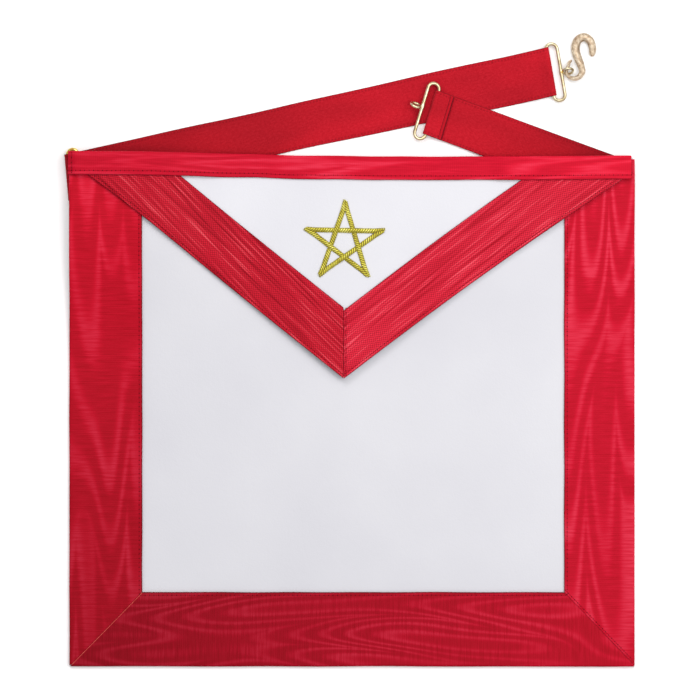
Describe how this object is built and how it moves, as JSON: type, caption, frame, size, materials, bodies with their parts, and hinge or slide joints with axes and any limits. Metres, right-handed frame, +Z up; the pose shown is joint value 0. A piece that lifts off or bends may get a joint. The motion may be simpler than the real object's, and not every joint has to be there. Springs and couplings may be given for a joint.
{
  "type": "lodge apron",
  "caption": "White leather lodge apron with red watered-ribbon borders, a triangular flap with an embroidered gold star, and an elastic belt with wire loops and a snake hook.",
  "frame": {"origin": "centre of the whole part's bounding box, on the surface that it lies on", "axes": "+Z up out of the apron's front, +Y from the bottom border towards the waistband, +X to the right of someone who looks down on the front"},
  "size_m": [0.4104, 0.4552, 0.0157],
  "materials": {
    "white_leather": "matte",
    "red_ribbon": "watered silk sheen",
    "red_elastic": "matte weave",
    "gold_thread": "metallic bullion thread",
    "gilt_metal": "polished gilt"
  },
  "bodies": {
    "apron": {"apron_panel": "white_leather", "border_left": "red_ribbon", "border_right": "red_ribbon", "border_bottom": "red_ribbon", "flap_panel": "white_leather", "flap_border_left": "red_ribbon", "flap_border_right": "red_ribbon", "star_embroidery": "gold_thread", "waistband": "red_ribbon", "belt_long": "red_elastic", "corner_loop": "gilt_metal", "anchor_tab": "red_elastic", "hook_loop": "gilt_metal", "belt_short": "red_elastic", "eye_loop": "gilt_metal"},
    "hook": {"snake_hook": "gilt_metal"}
  },
  "joints": [
    {"name": "hook_swing", "type": "hinge", "parent": "apron", "child": "hook", "pos_m": [0.16107, 0.19966, 0.0038], "axis": [0, 0.0715, 0.9974], "range_deg": [-50, 25]}
  ]
}
